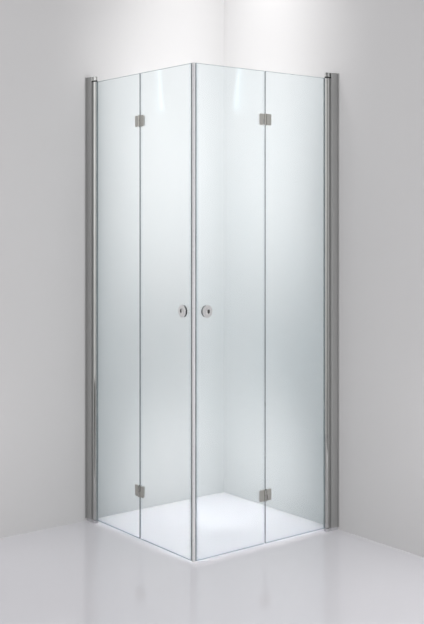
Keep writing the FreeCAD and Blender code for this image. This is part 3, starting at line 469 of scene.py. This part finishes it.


# Fold hinge plates: a clear gap beside the other half's barrel, and a barrel that is turned and polished, with a
# lighter tone painted on as highlight
def makeHingePlates(side, leaf):
    hinge = {"barrelMm": 6.0, "barrelSlackMm": 0.05, "clearMm": 6.5, "overlapMm": 1.5, "gapMm": 5.0,
             "splitMm": 1.2, "reachMm": 30.0, "sharpDeg": 30}
    gapEdges = (hinge["clearMm"] - hinge["overlapMm"], hinge["clearMm"] + hinge["gapMm"])
    reach, split = hinge["reachMm"] * mm, hinge["splitMm"] / 2 * mm
    barrelReach = (hinge["barrelMm"] + hinge["barrelSlackMm"]) * mm
    node = "%s_%s_hinge_plates" % (side, leaf)
    low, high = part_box(side + "_fold_pins")
    axis = [(a + b) / 2 for a, b in zip(low, high)]
    way = towardCorner[side] if leaf == "outer" else -towardCorner[side]
    holder = mergedCopy(node)
    for number, (low, high) in enumerate(solidBoxes(node)):
        middle = (low[2] + high[2]) / 2
        ownUpper = (leaf == "inner") == (number == 0)  # inner plates carry the upper half of the lower barrel
        cut = [[0.0] * 3, [0.0] * 3]
        for end, edge in enumerate(gapEdges):
            cut[end][along[side]] = axis[along[side]] + way * edge * mm
            cut[end][across[side]] = axis[across[side]] + (1 - 2 * end) * reach
        below, above = (reach, split) if ownUpper else (split, reach)
        cut[0][2], cut[1][2] = middle - below, middle + above
        shape = bmesh.new()
        bmesh.ops.create_cube(shape, size=1.0)
        for vert in shape.verts:
            vert.co = [cut[0][k] if vert.co[k] < 0 else cut[1][k] for k in range(3)]
        bmesh.ops.recalc_face_normals(shape, faces=shape.faces)
        cutterMesh = bpy.data.meshes.new("gapCutter")
        shape.to_mesh(cutterMesh)
        shape.free()
        cutter = bpy.data.objects.new("gapCutter", cutterMesh)
        scene.collection.objects.link(cutter)
        gap = holder.modifiers.new("gap", "BOOLEAN")
        gap.operation, gap.solver, gap.object = "DIFFERENCE", "EXACT", cutter
        mesh = bakedMesh(holder)
        bpy.data.objects.remove(cutter)
        holder = bpy.data.objects.new(node + "_copy", mesh)
        scene.collection.objects.link(holder)
    # barrel faces take the lighter finish, a painted highlight
    for face in holder.data.polygons:
        off = [face.center[k] - axis[k] for k in (along[side], across[side])]
        face.material_index = 1 if math.hypot(*off) < barrelReach else 0
    mesh = softMesh(holder, hinge["sharpDeg"], across[side])
    for finish in (hingeChrome, barrelChromePaintedHighlight):
        mesh.materials.append(finish)
    keepPiece(node + "_cut", mesh, "%s_%s_leaf" % (side, leaf), [node])


for side in sides:
    for leaf in ("inner", "outer"):
        makeHingePlates(side, leaf)
print("hinge plates made")


# Screws by Geometry Nodes: head with a broken edge and a hexagon socket on a plain shank, head face at zero
def screwTree():
    facets = {"head": 32, "shank": 24, "socket": 6}
    tree = bpy.data.node_groups.new("socketScrews", "GeometryNodeTree")
    tree.interface.new_socket("Places", in_out="INPUT", socket_type="NodeSocketGeometry")
    for name in ("headRadius", "headTall", "edge", "shankRadius", "length", "socketRadius", "socketDeep"):
        tree.interface.new_socket(name, in_out="INPUT", socket_type="NodeSocketFloat")
    tree.interface.new_socket("finish", in_out="INPUT", socket_type="NodeSocketMaterial")
    tree.interface.new_socket("Screws", in_out="OUTPUT", socket_type="NodeSocketGeometry")
    given = addNode(tree, "NodeGroupInput").outputs
    topRadius = addNode(tree, "ShaderNodeMath", {"operation": "SUBTRACT"},
                        links={0: given["headRadius"], 1: given["edge"]})
    bodyTall = addNode(tree, "ShaderNodeMath", {"operation": "SUBTRACT"},
                       links={0: given["headTall"], 1: given["edge"]})
    shankLong = addNode(tree, "ShaderNodeMath", {"operation": "SUBTRACT"},
                        links={0: given["length"], 1: given["headTall"]})
    edgeDrop = addNode(tree, "ShaderNodeMath", {"operation": "MULTIPLY"}, {1: -1.0}, {0: given["edge"]})
    bodySum = addNode(tree, "ShaderNodeMath", {"operation": "ADD"}, links={0: given["headTall"], 1: given["edge"]})
    bodyDrop = addNode(tree, "ShaderNodeMath", {"operation": "MULTIPLY"}, {1: -0.5}, {0: bodySum.outputs[0]})
    shankSum = addNode(tree, "ShaderNodeMath", {"operation": "ADD"}, links={0: given["headTall"], 1: given["length"]})
    shankDrop = addNode(tree, "ShaderNodeMath", {"operation": "MULTIPLY"}, {1: -0.5}, {0: shankSum.outputs[0]})
    socketTall = addNode(tree, "ShaderNodeMath", {"operation": "MULTIPLY"}, {1: 2.0}, {0: given["socketDeep"]})
    edgeAt = addNode(tree, "ShaderNodeCombineXYZ", links={2: edgeDrop.outputs[0]})
    bodyAt = addNode(tree, "ShaderNodeCombineXYZ", links={2: bodyDrop.outputs[0]})
    shankAt = addNode(tree, "ShaderNodeCombineXYZ", links={2: shankDrop.outputs[0]})
    edgeCone = addNode(tree, "GeometryNodeMeshCone", values={"Vertices": facets["head"]},
                       links={"Radius Top": topRadius.outputs[0], "Radius Bottom": given["headRadius"],
                              "Depth": given["edge"]})
    headBody = addNode(tree, "GeometryNodeMeshCylinder", values={"Vertices": facets["head"]},
                       links={"Radius": given["headRadius"], "Depth": bodyTall.outputs[0]})
    shank = addNode(tree, "GeometryNodeMeshCylinder", values={"Vertices": facets["shank"]},
                    links={"Radius": given["shankRadius"], "Depth": shankLong.outputs[0]})
    socket = addNode(tree, "GeometryNodeMeshCylinder", values={"Vertices": facets["socket"]},
                     links={"Radius": given["socketRadius"], "Depth": socketTall.outputs[0]})
    edgeSet = addNode(tree, "GeometryNodeTransform",
                      links={"Geometry": edgeCone.outputs["Mesh"], "Translation": edgeAt.outputs[0]})
    bodySet = addNode(tree, "GeometryNodeTransform",
                      links={"Geometry": headBody.outputs["Mesh"], "Translation": bodyAt.outputs[0]})
    shankSet = addNode(tree, "GeometryNodeTransform",
                       links={"Geometry": shank.outputs["Mesh"], "Translation": shankAt.outputs[0]})
    whole = addNode(tree, "GeometryNodeMeshBoolean", {"operation": "UNION"}, links={"Mesh 2": edgeSet.outputs[0]})
    for part in (bodySet, shankSet):
        tree.links.new(part.outputs[0], whole.inputs["Mesh 2"])
    drilled = addNode(tree, "GeometryNodeMeshBoolean", {"operation": "DIFFERENCE"},
                      links={"Mesh 1": whole.outputs["Mesh"], "Mesh 2": socket.outputs["Mesh"]})
    turn = addNode(tree, "GeometryNodeInputNamedAttribute", {"data_type": "FLOAT_VECTOR"}, {"Name": "turn"})
    turned = addNode(tree, "FunctionNodeEulerToRotation", links={0: turn.outputs["Attribute"]})
    placed = addNode(tree, "GeometryNodeInstanceOnPoints",
                     links={"Points": given["Places"], "Instance": drilled.outputs["Mesh"],
                            "Rotation": turned.outputs[0]})
    real = addNode(tree, "GeometryNodeRealizeInstances", links={0: placed.outputs[0]})
    dressed = addNode(tree, "GeometryNodeSetMaterial",
                      links={"Geometry": real.outputs[0], "Material": given["finish"]})
    addNode(tree, "NodeGroupOutput", links={0: dressed.outputs[0]})
    return tree


screws = screwTree()
headTurn = {"left": (-math.pi / 2, 0.0, 0.0), "right": (0.0, -math.pi / 2, 0.0)}  # heads face the inside


# screws of one size, set where the CAD screws are and as long as they are
def makeScrews(name, body, nodes, sizesMm):
    places, turns = [], []
    for node in nodes:
        side = node.split("_")[0]
        for low, high in solidBoxes(node):
            place = [(a + b) / 2 for a, b in zip(low, high)]
            place[across[side]] = high[1] if side == "left" else low[0]
            length = high[across[side]] - low[across[side]]
            places.append(place)
            turns.extend(headTurn[side])
    mesh = bpy.data.meshes.new(name + "_places")
    mesh.from_pydata(places, [], [])
    mesh.attributes.new("turn", "FLOAT_VECTOR", "POINT").data.foreach_set("vector", turns)
    holder = bpy.data.objects.new(name + "_places", mesh)
    scene.collection.objects.link(holder)
    modifier = holder.modifiers.new("screws", "NODES")
    modifier.node_group = screws
    sizes = dict({key: value * mm for key, value in sizesMm.items()}, length=length, finish=screwSteel)
    for socket in screws.interface.items_tree:
        if socket.name in sizes:
            modifier[socket.identifier] = sizes[socket.name]
    keepPiece(name, bakedMesh(holder), body, nodes)


hingeScrew = {"headRadius": 4.5, "headTall": 1.8, "edge": 0.5, "shankRadius": 2.4,
              "socketRadius": 1.7, "socketDeep": 1.2}
lockScrew = {"headRadius": 4.0, "headTall": 2.4, "edge": 0.5, "shankRadius": 2.0,
             "socketRadius": 1.7, "socketDeep": 1.2}
for side in sides:
    for leaf in ("inner", "outer"):
        node = "%s_%s_hinge_screws" % (side, leaf)
        makeScrews(node + "_drawn", "%s_%s_leaf" % (side, leaf), [node], hingeScrew)
makeScrews("locking_screws_drawn", "wall_frame", [side + "_locking_screws" for side in sides],
           lockScrew)
print("screws made")

# Room: a pale floor and two plain walls behind the object
room = {"floor": "#D0CFD3", "wall": "#C6C5C5", "reach": 9.0, "height": 4.0, "offMm": 0.4, "nearMm": 3.0}


# the camera looks through a wall from behind, and light still reaches what touches it
def wallFinish():
    material, tree = startMaterial("greyWall")
    matt = addNode(tree, "ShaderNodeBsdfDiffuse", values={"Color": linear(room["wall"])})
    clear = addNode(tree, "ShaderNodeBsdfTransparent")
    facing = addNode(tree, "ShaderNodeNewGeometry")
    path = addNode(tree, "ShaderNodeLightPath")
    behind = addNode(tree, "ShaderNodeMath", {"operation": "MULTIPLY"},
                     links={0: facing.outputs["Backfacing"], 1: path.outputs["Is Camera Ray"]})
    near = addNode(tree, "ShaderNodeMath", {"operation": "LESS_THAN"}, {1: room["nearMm"] * mm},
                   {0: path.outputs["Ray Length"]})
    passes = addNode(tree, "ShaderNodeMath", {"operation": "MAXIMUM"},
                     links={0: behind.outputs["Value"], 1: near.outputs["Value"]})
    mix = addNode(tree, "ShaderNodeMixShader",
                  links={0: passes.outputs["Value"], 1: matt.outputs["BSDF"], 2: clear.outputs["BSDF"]})
    addNode(tree, "ShaderNodeOutputMaterial", links={"Surface": mix.outputs["Shader"]})
    return material


# one flat sheet of the stage
def flatSheet(name, corners, material):
    mesh = bpy.data.meshes.new(name)
    mesh.from_pydata(corners, [], [(0, 1, 2, 3)])
    mesh.materials.append(material)
    sheet = bpy.data.objects.new(name, mesh)
    scene.collection.objects.link(sheet)
    return sheet


wallX = cadBox[0][0] - room["offMm"] * mm
wallY = cadBox[1][1] + room["offMm"] * mm
far, top = room["reach"], room["height"]
floorPaint = opaqueFinish("paleFloor", {"dark": room["floor"], "light": room["floor"], "rough": (0.07, 0.11),
                                        "markMm": (400, 400, 400), "bump": 0.0, "metal": 0.0})
wallPaint = wallFinish()
flatSheet("floor", [(-far, -far, 0), (far, -far, 0), (far, far, 0), (-far, far, 0)], floorPaint)
flatSheet("leftWall", [(wallX, -far, 0), (wallX, wallY, 0), (wallX, wallY, top), (wallX, -far, top)], wallPaint)
flatSheet("backWall", [(wallX, wallY, 0), (far, wallY, 0), (far, wallY, top), (wallX, wallY, top)], wallPaint)


# boards that only mirrors see, as a studio uses; the glow fades from one height to another
def boardFinish(name, fade, glow):
    material, tree = startMaterial(name)
    place = addNode(tree, "ShaderNodeTexCoord")
    apart = addNode(tree, "ShaderNodeSeparateXYZ", links={0: place.outputs["Object"]})
    level = addNode(tree, "ShaderNodeMapRange",
                    values={"From Min": fade[0], "From Max": fade[1], "To Min": glow[0], "To Max": glow[1]},
                    links={"Value": apart.outputs[2]})
    shine = addNode(tree, "ShaderNodeEmission", links={"Strength": level.outputs["Result"]})
    addNode(tree, "ShaderNodeOutputMaterial", links={"Surface": shine.outputs["Emission"]})
    return material


# pale boards beside and in front of the doors, and dark ones that draw the knobs, tubes and caps
boardOff, black, even = 0.01, (0.01, 0.01), (0, 1)
boards = [
    {"name": "leftBoard", "start": (wallX + boardOff, -0.45), "end": (wallX + boardOff, -1.1),
     "heights": (0.4, 2.5), "fade": (0.4, 2.1), "glow": (0.6, 1.1)},
    {"name": "rightBoard", "start": (0.45, wallY - boardOff), "end": (1.5, wallY - boardOff),
     "heights": (0.4, 2.5), "fade": (0.4, 2.1), "glow": (0.6, 1.1)},
    {"name": "frontBoard", "start": (-0.7, -4.4), "end": (4.4, -0.4),
     "heights": (0.15, 3.6), "fade": (0.6, 1.6), "glow": (0.9, 1.25)},
    {"name": "rightTubeBoard", "start": (1.7, -0.75), "end": (1.7, 0.38),
     "heights": (0.05, 2.7), "fade": (1.9, 2.25), "glow": (0.15, 0.01)},
    {"name": "leftFlag", "start": (0.206, -0.71), "end": (0.389, -0.71),
     "heights": (0.69, 1.26), "fade": even, "glow": black},
    {"name": "rightFlag", "start": (0.71, -0.46), "end": (0.71, -0.277),
     "heights": (0.69, 1.26), "fade": even, "glow": black},
    {"name": "lowFlag", "start": (-0.37, -1.2), "end": (0.3, -1.2),
     "heights": (0.005, 0.5), "fade": (0, 0.35), "glow": (0.3, 0.02)},
    {"name": "highFlag", "start": (0.35, -0.645), "end": (1.22, -0.19),
     "heights": (2.1, 2.32), "fade": even, "glow": black},
]
for board in boards:
    start, end, (low, high) = board["start"], board["end"], board["heights"]
    sheet = flatSheet(board["name"], [(*start, low), (*end, low), (*end, high), (*start, high)],
                      boardFinish(board["name"], board["fade"], board["glow"]))
    sheet.visible_camera = sheet.visible_diffuse = sheet.visible_shadow = sheet.visible_transmission = False

# Light: an even world, a soft box from the front left, a card at the right, and lamps that wash the corner
lamps = [
    {"name": "sideBox", "at": (1.6, -3.4, 2.4), "aim": (0.0, 0.0, 1.0),
     "size": (2.4, 2.4), "power": 40.0, "spread": 180},
    {"name": "rightCard", "at": (1.75, 0.36, 1.1), "aim": (1.1, -0.4, 1.0),
     "size": (2.0, 2.2), "power": 37.0, "spread": 180},
    {"name": "lowFill", "at": (2.0, -2.0, 0.7), "aim": (-0.4, 0.4, 0.1),
     "size": (3.0, 0.8), "power": 3.6, "spread": 180},
    {"name": "leftLow", "at": (-0.1, -1.3, 0.5), "aim": (-0.4, -0.4, 0.3),
     "size": (0.5, 0.3), "power": 0.45, "spread": 150},
    {"name": "rightLow", "at": (1.3, 0.1, 0.5), "aim": (0.4, 0.4, 0.3),
     "size": (0.5, 0.3), "power": 0.45, "spread": 150},
    {"name": "leftWash", "at": (-0.05, 0.10, 2.85), "aim": (-0.40, 0.12, 1.6),
     "size": (0.3, 0.3), "power": 0.65, "spread": 120},
    {"name": "rightWash", "at": (0.0, 0.05, 2.85), "aim": (0.02, 0.40, 1.6),
     "size": (0.3, 0.3), "power": 1.9, "spread": 120},
    {"name": "cornerHigh", "at": (0.26, -0.26, 2.1), "aim": (-0.4, 0.4, 2.0),
     "size": (0.36, 0.6), "power": 1.4, "spread": 140},
    {"name": "cornerMid", "at": (0.22, -0.2, 1.5), "aim": (-0.4, 0.36, 1.5),
     "size": (0.3, 0.9), "power": 2.5, "spread": 120},
    {"name": "cornerLow", "at": (0.14, -0.14, 0.32), "aim": (-0.4, 0.4, 0.2),
     "size": (0.24, 0.3), "power": 0.75, "spread": 120},
    {"name": "cornerFoot", "at": (0.1, -0.1, 0.1), "aim": (-0.4, 0.4, 0.3),
     "size": (0.4, 0.06), "power": 0.46, "spread": 130},
    {"name": "innerPool", "at": (-0.04, 0.04, 2.9), "aim": (-0.04, 0.04, 0.0),
     "size": (0.86, 0.86), "power": 1.4, "spread": 2},
]
for lamp in lamps:
    data = bpy.data.lights.new(lamp["name"], "AREA")
    data.shape = "RECTANGLE"
    data.size, data.size_y = lamp["size"]
    data.energy = lamp["power"]
    data.spread = math.radians(lamp["spread"])
    lampObject = bpy.data.objects.new(lamp["name"], data)
    lampObject.location = lamp["at"]
    lampObject.rotation_euler = (Vector(lamp["aim"]) - Vector(lamp["at"])).to_track_quat("-Z", "Y").to_euler()
    lampObject.visible_camera = False
    lampObject.visible_glossy = False  # mirrors see the boards instead
    scene.collection.objects.link(lampObject)

sky = {"colour": "#F2F2F4", "strength": 0.7}
world = bpy.data.worlds.new("evenWorld")
scene.world = world
world.use_nodes = True
skyTree = world.node_tree
skyTree.nodes.clear()
skyLight = addNode(skyTree, "ShaderNodeBackground",
                   values={"Color": linear(sky["colour"]), "Strength": sky["strength"]})
addNode(skyTree, "ShaderNodeOutputWorld", links={"Surface": skyLight.outputs["Background"]})
print("room and light set")

# Camera: level, a little above the middle of the doors, framed with a lens shift
view = {"at": (3.6355, -2.8385, 1.355), "turn": 51.92, "lens": 59.84, "sensor": 36.0, "shiftY": -0.1466}
cameraData = bpy.data.cameras.new("photoCamera")
cameraData.sensor_fit = "VERTICAL"
cameraData.sensor_height = view["sensor"]
cameraData.lens = view["lens"]
cameraData.shift_y = view["shiftY"]
cameraObject = bpy.data.objects.new("photoCamera", cameraData)
cameraObject.location = view["at"]
cameraObject.rotation_euler = (math.radians(90), 0.0, math.radians(view["turn"]))
scene.collection.objects.link(cameraObject)
scene.camera = cameraObject
